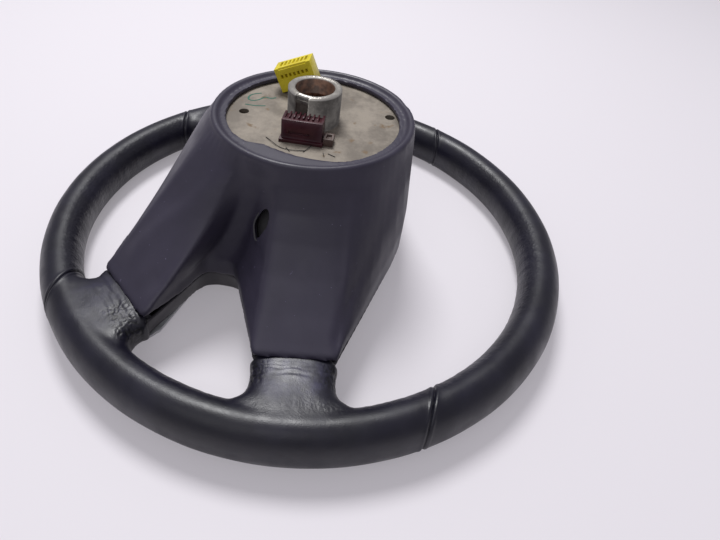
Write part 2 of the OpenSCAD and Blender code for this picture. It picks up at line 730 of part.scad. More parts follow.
armature();
rim_foam();
leather_top();
leather_bottom();
leather_left();
leather_right();
rear_cover();
cover_screws();
front_bezel();
trim_left();
trim_right();
hub_boss();
switch_connector();
connector_latch();
airbag_connector();
connector_lead();
horn_pad();
airbag_can();
airbag_cushion();
inflator();
guide_pins();
guide_bushes();
horn_springs();
horn_contacts();
pin_clip();
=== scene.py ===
# %% [markdown]
# # A used steering wheel, seen from behind
# The wheel lies on its driver's side, with the column side up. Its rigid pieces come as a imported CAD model,
# which is loaded here and never moved. This lesson dresses them: it gives every piece a finish, sews leather
# over the rim, rounds the moulded edges, and sets a camera and soft lamps.

# %% Load the CAD model
import json
import math

import bmesh
import bpy
import numpy as np
from mathutils import Matrix, Vector, noise

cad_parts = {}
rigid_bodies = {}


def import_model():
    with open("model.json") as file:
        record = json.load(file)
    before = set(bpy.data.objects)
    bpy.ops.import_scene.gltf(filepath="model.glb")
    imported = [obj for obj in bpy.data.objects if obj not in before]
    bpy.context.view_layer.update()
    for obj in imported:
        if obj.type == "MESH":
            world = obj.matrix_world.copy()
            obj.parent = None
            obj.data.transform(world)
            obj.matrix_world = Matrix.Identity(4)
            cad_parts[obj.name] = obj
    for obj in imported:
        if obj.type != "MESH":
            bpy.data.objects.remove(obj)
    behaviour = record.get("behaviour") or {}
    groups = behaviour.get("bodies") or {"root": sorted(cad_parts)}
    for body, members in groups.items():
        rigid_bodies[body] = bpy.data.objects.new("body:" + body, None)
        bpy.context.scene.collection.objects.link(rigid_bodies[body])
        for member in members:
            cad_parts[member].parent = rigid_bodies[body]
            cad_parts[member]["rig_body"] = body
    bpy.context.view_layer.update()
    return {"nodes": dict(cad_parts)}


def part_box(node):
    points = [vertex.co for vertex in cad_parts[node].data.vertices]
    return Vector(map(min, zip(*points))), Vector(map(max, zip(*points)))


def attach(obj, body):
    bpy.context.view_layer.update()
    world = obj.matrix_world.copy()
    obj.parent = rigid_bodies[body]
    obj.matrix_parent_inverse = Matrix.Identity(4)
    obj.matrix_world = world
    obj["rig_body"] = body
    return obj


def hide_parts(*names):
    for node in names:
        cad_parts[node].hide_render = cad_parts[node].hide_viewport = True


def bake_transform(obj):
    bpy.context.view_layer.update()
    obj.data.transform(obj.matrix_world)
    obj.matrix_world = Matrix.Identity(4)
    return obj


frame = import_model()
nodes = frame["nodes"]
MM = 0.001

# %% [markdown]
# ## Small tools
# Operators act on whatever is selected, so each step first clears the selection and then picks its own object.
# A copy of a CAD node gets its loose triangles merged before anything else is done to it.

# %% Selecting, copying and applying
def pick(*pieces):
    if bpy.context.object and bpy.context.object.mode != "OBJECT":
        bpy.ops.object.mode_set(mode="OBJECT")
    bpy.ops.object.select_all(action="DESELECT")
    for piece in pieces:
        piece.hide_viewport = False
        piece.select_set(True)
    bpy.context.view_layer.objects.active = pieces[0]
    return pieces[0]


def merged_copy(node_name, name):
    mesh = nodes[node_name].data.copy()
    mesh.materials.clear()
    piece = bpy.data.objects.new(name, mesh)
    bpy.context.scene.collection.objects.link(piece)
    pick(piece)
    bpy.ops.object.mode_set(mode="EDIT")
    bpy.ops.mesh.select_all(action="SELECT")
    bpy.ops.mesh.remove_doubles(threshold=0.005 * MM)
    bpy.ops.object.mode_set(mode="OBJECT")
    return piece


def apply(piece, kind, **settings):
    pick(piece)
    modifier = piece.modifiers.new(kind.title(), kind)
    for name, value in settings.items():
        setattr(modifier, name, value)
    bpy.ops.object.modifier_apply(modifier=modifier.name)
    return piece


def choose_faces(piece, chosen):
    pick(piece)
    bpy.ops.object.mode_set(mode="EDIT")
    bpy.ops.mesh.select_mode(type="FACE")
    bpy.ops.mesh.select_all(action="DESELECT")
    bpy.ops.object.mode_set(mode="OBJECT")
    piece.data.polygons.foreach_set("select", chosen)
    bpy.ops.object.mode_set(mode="EDIT")


def settle(piece, body, *replaced):
    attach(piece, body)
    if replaced:
        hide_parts(*replaced)
    print("piece", piece.name, "has", len(piece.data.polygons), "faces")
    return piece


# %% A place by its clock angle, counted from 12 o'clock
def clock(angle, radius):
    return Vector((radius * math.sin(math.radians(angle)), radius * math.cos(math.radians(angle)), 0))


# %% Reading and moving a mesh's points all at once
def smooth(value, low, high):
    t = np.clip((value - low) / (high - low), 0, 1)
    return t * t * (3 - 2 * t)


def read_points(piece):
    count = len(piece.data.vertices)
    points = np.empty(count * 3)
    normals = np.empty(count * 3)
    piece.data.vertices.foreach_get("co", points)
    piece.data.vertices.foreach_get("normal", normals)
    return points.reshape(-1, 3), normals.reshape(-1, 3)


def write_points(piece, points):
    piece.data.vertices.foreach_set("co", points.ravel())
    piece.data.update()


def noise_at(points, scale):
    scaled = points * np.asarray(scale)
    return np.array([noise.noise(Vector(p)) for p in scaled])


# %% [markdown]
# ## Finishes
# Every finish is a small node tree on Object coordinates, in metres. A base colour is mottled by noise, the
# roughness wanders a little, and a bump gives the grain. Constants go straight on the shader's own sockets.

# %% The parts that all finishes share
class Finish:
    def __init__(self, name, rough=0.5, metal=0.0, specular=0.5, coat=0.0):
        self.material = bpy.data.materials.new(name)
        self.material.use_nodes = True
        self.tree = self.material.node_tree
        self.shader = self.tree.nodes["Principled BSDF"]
        self.shader.inputs["Roughness"].default_value = rough
        self.shader.inputs["Metallic"].default_value = metal
        self.shader.inputs["Specular IOR Level"].default_value = specular
        self.shader.inputs["Coat Weight"].default_value = coat
        self.place = self.add("ShaderNodeTexCoord").outputs["Object"]

    def add(self, kind, inputs=None, **settings):
        node = self.tree.nodes.new(kind)
        for name, value in settings.items():
            setattr(node, name, value)
        for name, value in (inputs or {}).items():
            socket = node.inputs[name]
            if isinstance(value, bpy.types.NodeSocket):
                self.tree.links.new(value, socket)
            else:
                socket.default_value = value
        return node

    def noise(self, per_metre, detail=3.0, rough=0.55, shift=(0, 0, 0)):
        place = self.add("ShaderNodeMapping", {"Vector": self.place, "Location": shift})
        inputs = {"Vector": place.outputs[0], "Scale": per_metre, "Detail": detail, "Roughness": rough}
        return self.add("ShaderNodeTexNoise", inputs).outputs["Fac"]

    def cells(self, per_metre):
        inputs = {"Vector": self.place, "Scale": per_metre}
        return self.add("ShaderNodeTexVoronoi", inputs, feature="DISTANCE_TO_EDGE").outputs["Distance"]

    def ramp(self, value, low, high, start=0.0, end=1.0):
        inputs = {"Value": value, "From Min": low, "From Max": high, "To Min": start, "To Max": end}
        return self.add("ShaderNodeMapRange", inputs, interpolation_type="SMOOTHSTEP").outputs["Result"]

    def math(self, operation, a, b=0.0):
        return self.add("ShaderNodeMath", {0: a, 1: b}, operation=operation).outputs[0]

    def mix(self, fac, a, b):
        node = self.add("ShaderNodeMix", data_type="RGBA")
        for index, value in ((0, fac), (6, a), (7, b)):
            if isinstance(value, bpy.types.NodeSocket):
                self.tree.links.new(value, node.inputs[index])
            else:
                node.inputs[index].default_value = value if index == 0 else (*value, 1.0)
        return node.outputs[2]

    def mark(self, name):
        return self.add("ShaderNodeAttribute", attribute_name=name).outputs["Fac"]

    def colour(self, value):
        self.tree.links.new(value, self.shader.inputs["Base Color"])

    def rough(self, value):
        self.tree.links.new(value, self.shader.inputs["Roughness"])

    def bump(self, height, depth, strength):
        inputs = {"Height": height, "Distance": depth, "Strength": strength}
        last = self.shader.inputs["Normal"]
        if last.links:
            inputs["Normal"] = last.links[0].from_socket
        self.tree.links.new(self.add("ShaderNodeBump", inputs).outputs["Normal"], last)


def paint(piece, finish):
    piece.data.materials.clear()
    piece.data.materials.append(finish.material)


# %% [markdown]
# ## Leather, plastic and metal
# The leather is nearly black with a blue cast and finely grained. Its roots' tops are painted lighter, partly
# for wear where hands have polished them and partly as a painted highlight.
# The cover is a satin charcoal plastic with a fine grain. The hub plate is cast, pale and stained.

# %% Leather
def leather_finish():
    leather = Finish("black_leather", rough=0.5, specular=0.5)
    broad = leather.ramp(leather.noise(30, detail=4), 0.35, 0.7)
    tone = leather.mix(broad, (0.0045, 0.004, 0.0105), (0.0098, 0.009, 0.0205))
    # The roots' tops are painted lighter: partly wear, partly a painted highlight where the lamp glances off them.
    blotches = leather.ramp(leather.noise(120, detail=6, rough=0.7, shift=(4, 4, 1)), 0.38, 0.62, 0.25, 1.0)
    wear_and_sheen = leather.math("MULTIPLY", leather.mark("wear_and_sheen"), blotches)
    tone = leather.mix(wear_and_sheen, tone, (0.034, 0.032, 0.066))
    # Painted shade darkens the pits of the crease net.
    leather.colour(leather.mix(leather.mark("crease_shade"), tone, (0.002, 0.002, 0.003)))
    leather.rough(leather.ramp(leather.noise(60, detail=5, shift=(3, 1, 2)), 0.3, 0.7, 0.34, 0.48))
    leather.bump(leather.cells(900), 0.12 * MM, 0.5)
    leather.bump(leather.noise(320, detail=4), 0.22 * MM, 0.35)
    wrinkles = leather.math("MULTIPLY", leather.mark("inner"), leather.cells(330))
    leather.bump(wrinkles, 0.5 * MM, 0.7)
    return leather


# %% Charcoal and black plastics
def plastic_finish(name, low, high, rough_low, rough_high):
    plastic = Finish(name, specular=0.45)
    broad = plastic.noise(17, detail=5)
    tone = plastic.mix(plastic.ramp(broad, 0.3, 0.72), low, high)
    specks = plastic.ramp(plastic.noise(430, detail=2, shift=(5, 5, 5)), 0.74, 0.79)
    plastic.colour(plastic.mix(specks, tone, tuple(4 * c for c in high)))
    plastic.rough(plastic.ramp(plastic.noise(45, detail=4, shift=(1, 2, 3)), 0.3, 0.7, rough_low, rough_high))
    plastic.bump(plastic.noise(1500, detail=2), 0.06 * MM, 0.6)
    return plastic


# %% Cast metal of the armature
def cast_finish():
    cast = Finish("stained_cast", rough=0.55, metal=0.2, specular=0.4)
    stain = cast.noise(48, detail=6, rough=0.65)
    tone = cast.mix(cast.ramp(stain, 0.36, 0.66), (0.157, 0.135, 0.112), (0.292, 0.256, 0.215))
    brown = cast.ramp(cast.noise(120, detail=5, shift=(7, 2, 4)), 0.6, 0.74)
    tone = cast.mix(brown, tone, (0.16, 0.11, 0.065))
    cast.colour(tone)
    cast.rough(cast.ramp(stain, 0.3, 0.7, 0.48, 0.72))
    cast.bump(cast.noise(420, detail=5), 0.25 * MM, 0.5)
    return cast


# %% Steel, brass, lacquer, foam, cloth and the coloured plastics
SPOTS = 90


def simple_finish(name, low, high, rough, metal=0.0, depth=0.05, grain=900, coat=0.0):
    look = Finish(name, rough=rough, metal=metal, coat=coat)
    look.colour(look.mix(look.ramp(look.noise(SPOTS, detail=5), 0.34, 0.68), low, high))
    look.rough(look.ramp(look.noise(SPOTS * 1.7, detail=4, shift=(2, 5, 1)), 0.3, 0.7, rough - 0.07, rough + 0.09))
    look.bump(look.noise(grain, detail=3), depth * MM, 0.5)
    return look


def boss_finish():
    boss = Finish("worn_steel_boss", rough=0.42, metal=0.75)
    stain = boss.noise(75, detail=6, rough=0.7)
    tone = boss.mix(boss.ramp(stain, 0.35, 0.65), (0.1, 0.092, 0.084), (0.23, 0.215, 0.195))
    from_axis = boss.add("ShaderNodeVectorMath", {0: boss.place, 1: (1, 1, 0)}, operation="MULTIPLY")
    radius = boss.add("ShaderNodeVectorMath", {0: from_axis.outputs[0]}, operation="LENGTH").outputs["Value"]
    bore = boss.ramp(radius, 12.4 * MM, 12.7 * MM, 1.0, 0.0)
    rust = boss.mix(boss.ramp(boss.noise(210, detail=5, shift=(1, 1, 5)), 0.35, 0.65),
                    (0.05, 0.018, 0.009), (0.17, 0.075, 0.04))
    height = boss.add("ShaderNodeSeparateXYZ", {"Vector": boss.place}).outputs["Z"]
    lip = boss.ramp(height, 128.6 * MM, 129.5 * MM)
    tone = boss.mix(lip, tone, (0.42, 0.4, 0.37))
    boss.colour(boss.mix(bore, tone, rust))
    boss.rough(boss.ramp(stain, 0.3, 0.7, 0.32, 0.55))
    boss.bump(boss.noise(600, detail=4), 0.15 * MM, 0.5)
    return boss


finishes = {
    "leather": leather_finish(),
    "cover_plastic": plastic_finish("charcoal_plastic", (0.027, 0.0235, 0.041), (0.041, 0.036, 0.06), 0.4, 0.52),
    "bezel_plastic": plastic_finish("black_plastic", (0.026, 0.024, 0.03), (0.04, 0.037, 0.044), 0.42, 0.55),
    "cast": cast_finish(),
    "boss_steel": boss_finish(),
    "foam": simple_finish("moulded_foam", (0.02, 0.02, 0.021), (0.034, 0.034, 0.036), 0.85, grain=1800, depth=0.2),
    "silver_trim": simple_finish("silver_lacquer", (0.66, 0.67, 0.69), (0.76, 0.77, 0.79), 0.36, metal=0.2,
                                 coat=0.4),
    "red_plastic": simple_finish("dark_red_plastic", (0.032, 0.004, 0.009), (0.058, 0.009, 0.016), 0.34),
    "brown_plastic": simple_finish("brown_plastic", (0.06, 0.035, 0.03), (0.1, 0.065, 0.055), 0.45),
    "yellow_plastic": simple_finish("yellow_plastic", (0.62, 0.5, 0.015), (0.76, 0.64, 0.03), 0.38),
    "lead_cover": simple_finish("lead_sleeve", (0.4, 0.33, 0.03), (0.5, 0.42, 0.05), 0.55),
    "steel": simple_finish("plated_steel", (0.4, 0.4, 0.41), (0.56, 0.56, 0.57), 0.3, metal=0.95),
    "cushion": simple_finish("woven_cushion", (0.6, 0.6, 0.57), (0.72, 0.72, 0.69), 0.8, grain=2400, depth=0.3),
    "bush_plastic": simple_finish("natural_plastic", (0.6, 0.58, 0.5), (0.7, 0.68, 0.6), 0.5),
    "marker": simple_finish("green_marker", (0.004, 0.09, 0.058), (0.008, 0.13, 0.088), 0.6),
    "thread": simple_finish("black_thread", (0.008, 0.007, 0.007), (0.016, 0.014, 0.014), 0.6),
    "contact": simple_finish("contact_brass", (0.55, 0.4, 0.16), (0.7, 0.54, 0.25), 0.32, metal=0.95),
}
print("finishes:", len(finishes))

# %% [markdown]
# ## Which finish goes on which node
# The soft solids, the leather and the folded cushion, are replaced further down. The others keep their CAD
# shape. Pieces in full view are copied, so that their moulded edges can be rounded and shaded smooth. The springs
# are copied too and shaded smooth; on the real wheel they shorten when the horn is pressed.

# %% Finishes by node
slot_of = {
    "armature": "cast", "rim_foam": "foam", "leather_top": "leather", "leather_bottom": "leather",
    "leather_left": "leather", "leather_right": "leather", "rear_cover": "cover_plastic",
    "cover_screws": "steel", "front_bezel": "bezel_plastic", "trim_left": "silver_trim",
    "trim_right": "silver_trim", "hub_boss": "boss_steel", "switch_connector": "red_plastic",
    "connector_latch": "brown_plastic", "airbag_connector": "yellow_plastic", "connector_lead": "lead_cover",
    "horn_pad": "bezel_plastic", "airbag_can": "steel", "airbag_cushion": "cushion", "inflator": "steel",
    "guide_pins": "steel", "guide_bushes": "bush_plastic", "horn_springs": "steel", "horn_contacts": "contact",
    "pin_clip": "steel"}
for name, slot in slot_of.items():
    paint(nodes[name], finishes[slot])


# %% Rounded copies of the rigid pieces in view
FLAT, SHARP = math.radians(1), math.radians(35)


def rounded(node_name, name, round_mm=0.0):
    piece = merged_copy(node_name, name)
    if round_mm:
        apply(piece, "DECIMATE", decimate_type="DISSOLVE", angle_limit=FLAT)
        apply(piece, "BEVEL", width=round_mm * MM, segments=2, limit_method="ANGLE", angle_limit=SHARP)
    pick(piece)
    bpy.ops.object.shade_smooth_by_angle(angle=SHARP)
    paint(piece, finishes[slot_of[node_name]])
    settle(piece, nodes[node_name]["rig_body"], node_name)


rounded("switch_connector", "red_connector", 0.25)
rounded("connector_latch", "brown_latch", 0.25)
rounded("airbag_connector", "yellow_connector", 0.3)
rounded("horn_pad", "driver_pad")


# %% The springs between the can and the wheel, copied and shaded smooth
springs = merged_copy("horn_springs", "coil_springs")
pick(springs)
bpy.ops.object.shade_smooth_by_angle(angle=math.radians(60))
paint(springs, finishes["steel"])
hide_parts("horn_springs")
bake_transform(springs)


# %% The bright trims, cut back to the edge of the bezel that they lie on
FORK_EDGE, SPOKE_END = Vector((74.5, -52, 0)), Vector((125, -71.5, 0))
TRIM_BACK, TRIM_BACK_END = 10.0, 2.0


def bright_trim(node_name, name, side):
    piece = merged_copy(node_name, name)
    along = (SPOKE_END - FORK_EDGE).normalized()
    outward = Vector((-along.y, along.x, 0))
    first, last = FORK_EDGE - outward * TRIM_BACK, SPOKE_END - outward * TRIM_BACK_END
    cut = (last - first).normalized()
    pick(piece)
    bpy.ops.object.mode_set(mode="EDIT")
    bpy.ops.mesh.select_all(action="SELECT")
    bpy.ops.mesh.bisect(plane_co=Vector((first.x * side, first.y, 0)) * MM,
                        plane_no=(-cut.y * side, cut.x, 0), clear_outer=True, use_fill=True)
    bpy.ops.object.mode_set(mode="OBJECT")
    apply(piece, "BEVEL", width=0.35 * MM, segments=2, limit_method="ANGLE", angle_limit=SHARP)
    pick(piece)
    bpy.ops.object.shade_smooth_by_angle(angle=SHARP)
    paint(piece, finishes["silver_trim"])
    settle(piece, "wheel", node_name)


bright_trim("trim_left", "silver_trim_left", -1)
bright_trim("trim_right", "silver_trim_right", 1)

# %% [markdown]
# ## The moulded cover and bezel
# A moulded cover has no sharp edge on it anywhere. The CAD copy is swollen and remeshed into even faces, wrapped
# back onto its own shape, and relaxed at its edges, less at the collar and the spokes' ends, where the steps are
# small. Then soft pushes shape what the mould has: a crease along the 12 o'clock edge of a side spoke, a ridge
# and a valley on a lower spoke, and a lip at each spoke's end. The edge at 6 o'clock is drawn straight.

# %% Even faces and soft edges
# The turn of each spoke in degrees, where its cover ends and its half width there, in mm.
ROOTS = [(82.0, 132.5, 24.0), (130.5, 141.5, 26.8)]
LOW_HALF = ROOTS[1][2]
COARSE = 1.0
SWELL = 0.55 * MM
COLLAR_LOW, COLLAR_HIGH = 104 * MM, 109 * MM
COLLAR_STIFF, END_STIFF = 0.75, 0.6
CAD_HOLE_TURN, CAD_HOLE_RADIUS, CAD_HOLE_REACH = 105, 77, 4.15


def close_holes(piece, turn, radius, reach):
    middle = clock(turn, radius) * MM
    near = [(v.co.xy - middle.xy).length < reach * MM for v in piece.data.vertices]
    choose_faces(piece, [all(near[i] for i in f.vertices) for f in piece.data.polygons])
    bpy.ops.mesh.delete(type="FACE")
    bpy.ops.mesh.select_mode(type="EDGE")
    bpy.ops.mesh.select_all(action="DESELECT")
    bpy.ops.mesh.select_non_manifold(extend=False, use_wire=False, use_boundary=True, use_multi_face=False,
                                     use_non_contiguous=False, use_verts=False)
    bpy.ops.mesh.fill_holes(sides=0)
    bpy.ops.object.mode_set(mode="OBJECT")


def moulded(node_name, name, voxel, rounds):
    piece = merged_copy(node_name, name)
    if node_name == "rear_cover":
        for side in (1, -1):
            close_holes(piece, side * CAD_HOLE_TURN, CAD_HOLE_RADIUS, CAD_HOLE_REACH)
    guide = bpy.data.objects.new("guide", piece.data.copy())
    bpy.context.scene.collection.objects.link(guide)
    apply(piece, "DISPLACE", strength=SWELL, mid_level=0)
    apply(piece, "REMESH", mode="VOXEL", voxel_size=voxel * COARSE * MM)
    apply(piece, "SHRINKWRAP", target=guide, wrap_method="NEAREST_SURFACEPOINT", wrap_mode="ABOVE_SURFACE",
          offset=SWELL)
    bpy.data.objects.remove(guide)
    points, _ = read_points(piece)
    amount = 1 - COLLAR_STIFF * smooth(points[:, 2], COLLAR_LOW, COLLAR_HIGH)
    for turn, end_r, _ in ROOTS:
        for side in (1, -1):
            reach = points @ np.array(clock(side * turn, 1.0)) / MM - end_r
            amount *= 1 - END_STIFF * smooth(reach, -8, -2)
    group = piece.vertex_groups.new(name="rounding")
    for index, weight in enumerate(amount):
        group.add([index], float(weight), "REPLACE")
    apply(piece, "SMOOTH", factor=0.5, iterations=rounds, vertex_group="rounding")
    apply(piece, "DISPLACE", strength=-SWELL, mid_level=0)
    pick(piece)
    bpy.ops.object.shade_smooth()
    paint(piece, finishes[slot_of[node_name]])
    return settle(piece, "wheel", node_name)


# %% Crease, ridge, valley, lip and hem, with their sizes in mm
EDGE_START, EDGE_END = np.array((24.0, 71.5)), np.array((127.9, 42.2))
CREASE_X = (25, 36, 50, 100, 120, 128)
CREASE_IN = (9.5, 8.5, 7.8, 7.2, 4.0, 1.0)
RIDGE_REACH, RIDGE_ASIDE = (81, 94, 104, 114, 124), (-5, -1, 5, 9, 12)
LOW_TURN = math.radians(ROOTS[1][0])
CREASE_DEPTH, CREASE_WIDE = 2.4, 2.8
RIDGE_RISE, RIDGE_WIDE = 2.0, 7
VALLEY_ASIDE, VALLEY_DROP, VALLEY_WIDE = -15.5, 2.3, 7
LIP_DROP, LIP_OUT = 0.5, 1.2
HEM_REACH, HEM_IN, HEM_X = 1.4, 0.2, (76, 87)


def bell(value, middle, width):
    return np.exp(-((value - middle) / width) ** 2)


def shape_cover(piece):
    points, _ = read_points(piece)
    x, y = np.abs(points[:, 0]) / MM, points[:, 1] / MM
    way = (EDGE_END - EDGE_START) / np.linalg.norm(EDGE_END - EDGE_START)
    inset = (EDGE_START[1] - y) * way[0] - (EDGE_START[0] - x) * way[1]
    fade = smooth(x, 22, 34) * (1 - smooth(x, 116, 127))
    push = -CREASE_DEPTH * bell(inset, np.interp(x, CREASE_X, CREASE_IN), CREASE_WIDE) * fade
    reach = x * math.sin(LOW_TURN) + y * math.cos(LOW_TURN)
    aside = x * math.cos(LOW_TURN) - y * math.sin(LOW_TURN)
    fade = smooth(reach, 68, 84) * (1 - smooth(reach, 124, 139)) * (1 - smooth(np.abs(aside), 22, 26))
    push += RIDGE_RISE * bell(aside, np.interp(reach, RIDGE_REACH, RIDGE_ASIDE), RIDGE_WIDE) * fade
    push -= VALLEY_DROP * bell(aside, VALLEY_ASIDE, VALLEY_WIDE) * fade
    for turn, end_r, half in ROOTS:
        ahead = np.array(clock(turn, 1.0))[:2]
        reach = x * ahead[0] + y * ahead[1] - end_r
        aside = np.abs(x * ahead[1] - y * ahead[0])
        lip = smooth(reach, -5, 0) * (aside < half + 3)
        push -= LIP_DROP * lip
        points[:, :2] += (np.sign(points[:, 0])[:, None] ** (1, 0) * ahead) * (LIP_OUT * lip * MM)[:, None]
    points[:, 2] += push * MM
    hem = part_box("rear_cover")[0].y
    close = (points[:, 1] < hem + HEM_REACH * MM) * (1 - smooth(x, *HEM_X))
    points[:, 1] += (hem + HEM_IN * MM - points[:, 1]) * close
    write_points(piece, points)


# %% [markdown]
# ## The release holes
# A drop-shaped hole leans into the cover on each side, for the tool that lets the pad go. Behind it shows a short
# dark sleeve. The CAD model's own round holes were closed before the remesh.

# %% A leaning hole, and the sleeve behind it
HOLE_PLACE, HOLE_AXIS = (74.8, -14.8, 76.3), (0.8, 0.05, 0.6)
HOLE_RADIUS, HOLE_STRETCH, HOLE_LEAN = 3.6, 2.5, 0.22
DRILL_LENGTH, SLEEVE_LENGTH, SLEEVE_SUNK, SLEEVE_WIDER = 30, 11, 7.6, 1.12


def hole_bar(side, length, sunk=0.0, wider=1.0):
    axis = Vector((HOLE_AXIS[0] * side, *HOLE_AXIS[1:])).normalized()
    across = axis.cross(Vector((0, 0, 1))).normalized()
    place = Matrix((across, axis.cross(across), axis)).transposed().to_4x4()
    place.translation = Vector((HOLE_PLACE[0] * side, *HOLE_PLACE[1:])) * MM
    bpy.ops.object.select_all(action="DESELECT")
    bpy.ops.mesh.primitive_cylinder_add(vertices=40, radius=HOLE_RADIUS * MM, depth=length * MM)
    bar = bpy.context.object
    points, _ = read_points(bar)
    points[:, 1] *= HOLE_STRETCH
    points[:, 0] *= 1.1 - 0.5 * smooth(points[:, 1], 0, 9 * MM)
    points[:, 0] += HOLE_LEAN * side * points[:, 1]
    points[:, 2] -= sunk * MM
    points[:, :2] *= wider
    write_points(bar, points)
    bar.data.transform(place)
    return bar, axis


def release_hole(piece, side):
    drill, _ = hole_bar(side, DRILL_LENGTH)
    apply(piece, "BOOLEAN", object=drill, operation="DIFFERENCE", solver="EXACT")
    bpy.data.objects.remove(drill)
    sleeve, axis = hole_bar(side, SLEEVE_LENGTH, SLEEVE_SUNK, SLEEVE_WIDER)
    choose_faces(sleeve, [f.normal.dot(axis) > 0.9 for f in sleeve.data.polygons])
    bpy.ops.mesh.delete(type="FACE")
    bpy.ops.object.mode_set(mode="OBJECT")
    apply(sleeve, "SOLIDIFY", thickness=0.9 * MM, offset=1.0)
    sleeve.name = "release_sleeve_right" if side > 0 else "release_sleeve_left"
    pick(sleeve)
    bpy.ops.object.shade_smooth_by_angle(angle=math.radians(40))
    paint(sleeve, finishes["bezel_plastic"])
    settle(sleeve, "wheel")


# %% The cover and the bezel
cover = moulded("rear_cover", "moulded_cover", voxel=1.5, rounds=8)
shape_cover(cover)
for side in (1, -1):
    release_hole(cover, side)
pick(cover)
bpy.ops.object.shade_smooth_by_angle(angle=math.radians(50))
moulded("front_bezel", "moulded_bezel", voxel=1.5, rounds=6)

# %% [markdown]
# ## Small things on the hub plate
# The boss has a chip in its rim and a shallow flat below it. A felt pen left a squiggle on the plate, and a few
# black threads lie beside the connector. Pen and threads are thin tubes along short curves.

# %% The boss, with its flat and its chip
def cutter(turn, low, size):
    bpy.ops.object.select_all(action="DESELECT")
    bpy.ops.mesh.primitive_cube_add(size=1)
    block = bpy.context.object
    block.data.transform(Matrix.Diagonal((*size, 1)))
    block.data.transform(Matrix.Translation((17 * MM, 0, low + size[2] / 2)))
    block.data.transform(Matrix.Rotation(math.radians(turn), 4, "Z"))
    return apply(block, "BEVEL", width=0.3 * MM, segments=2)


FLAT_TURN = -19
FLAT_CUT = (114 * MM, (1.6 * MM, 8.2 * MM, 11.5 * MM))
CHIP_CUT = (127.4 * MM, (3.4 * MM, 9 * MM, 4 * MM))


def steel_boss():
    boss = merged_copy("hub_boss", "steel_boss")
    for low, size in (FLAT_CUT, CHIP_CUT):
        block = cutter(FLAT_TURN, low, size)
        apply(boss, "BOOLEAN", object=block, operation="DIFFERENCE", solver="EXACT")
        bpy.data.objects.remove(block)
    pick(boss)
    bpy.ops.object.shade_smooth_by_angle(angle=SHARP)
    paint(boss, finishes["boss_steel"])
    settle(boss, "wheel", "hub_boss")


steel_boss()


# %% The felt pen's squiggle and the threads
def line_piece(name, strokes, height, thick, flat, slot):
    parts = []
    for stroke in strokes:
        bpy.ops.object.select_all(action="DESELECT")
        bpy.ops.curve.primitive_nurbs_path_add()
        line = bpy.context.object
        line.data.splines.clear()
        spline = line.data.splines.new("NURBS")
        spline.points.add(len(stroke) - 1)
        for point, place in zip(spline.points, stroke):
            point.co = (place[0] * MM, place[1] * MM, (place[2] if len(place) > 2 else 0) * MM, 1)
        spline.order_u = 3
        spline.use_endpoint_u = True
        line.data.resolution_u = 6
        line.data.bevel_depth = thick / 2 * MM
        line.data.bevel_resolution = 2
        line.data.use_fill_caps = True
        bpy.ops.object.convert(target="MESH")
        parts.append(bpy.context.object)
    piece = pick(*parts)
    if len(parts) > 1:
        bpy.ops.object.join()
    piece.name = name
    piece.data.transform(Matrix.Diagonal((1, 1, flat, 1)))
    piece.data.transform(Matrix.Translation((0, 0, height * MM)))
    pick(piece)
    bpy.ops.object.shade_smooth()
    paint(piece, finishes[slot])
    settle(piece, "wheel")


PLATE_TOP = 107.4
line_piece("pen_squiggle", [
    [(-25, -41), (-22.5, -47), (-15, -48.5), (-12, -45), (-15, -40), (-21, -37.5), (-18.5, -33), (-21.5, -30)],
    [(-6.5, -47.5), (-5.5, -41), (-8, -34)]], PLATE_TOP + 0.05, 1.15, 0.08, "marker")
line_piece("black_threads", [
    [(30.7, -23.8, 0.2), (35, -19.5, 0.9), (40, -13.5, 0.3), (41.7, -5.1, 0.5), (39.5, 2.3, 0.4)],
    [(32.9, 5.3, 0.9), (37, 3.9, 0.6), (40.9, 1.4, 0.3)], [(38.9, -9.5, 0.4), (42.6, -6.5, 0.3)],
    [(38.7, 13.1, 0.3), (42.8, 14.4, 0.3)], [(38.9, 16.1, 0.3), (41, 20.7, 0.3)]],
    PLATE_TOP + 0.05, 0.42, 1.0, "thread")

# %% [markdown]
# ## The folded cushion
# The cushion inside the can is cloth, folded into flat layers. A drum is remeshed into even faces and pushed in
# between the layers at its side, and along a loose fold across its ends.

# %% The cushion
LAYERS, LAYER_DEEP, LOOSE_DEEP, FOLD_DEEP = 9, 1.1, 0.5, 1.4


def folded_cushion():
    low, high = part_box("airbag_cushion")
    wide = (high.x - low.x) / 2 - 0.6 * MM
    tall = high.z - low.z - 1.2 * MM
    bpy.ops.object.select_all(action="DESELECT")
    bpy.ops.mesh.primitive_cylinder_add(vertices=96, radius=wide, depth=tall, end_fill_type="TRIFAN",
                                        location=(0, 0, (low.z + high.z) / 2))
    cushion = bpy.context.object
    cushion.name = "folded_cushion"
    pick(cushion)
    bpy.ops.object.transform_apply(location=True, rotation=True, scale=True)
    apply(cushion, "REMESH", mode="VOXEL", voxel_size=1.1 * COARSE * MM)
    apply(cushion, "SMOOTH", factor=0.5, iterations=10)
    points, normals = read_points(cushion)
    layer = np.abs(np.sin((points[:, 2] - low.z) / tall * math.pi * LAYERS))
    radius = np.hypot(points[:, 0], points[:, 1])
    side = smooth(radius, wide - 4 * MM, wide - 1 * MM)
    loose = noise_at(points, (45, 45, 45))
    push = -LAYER_DEEP * MM * (1 - layer ** 0.5) * side - LOOSE_DEEP * MM * (loose + 0.6)
    fold = np.abs(points[:, 0] + 3 * MM * noise_at(points, (25, 25, 25)))
    push -= FOLD_DEEP * MM * bell(fold / MM, 0, 1.2) * (1 - side)
    write_points(cushion, points + normals * np.minimum(push, 0)[:, None])
    pick(cushion)
    bpy.ops.object.shade_smooth()
    paint(cushion, finishes["cushion"])
    settle(cushion, "airbag_unit", "airbag_cushion")


folded_cushion()
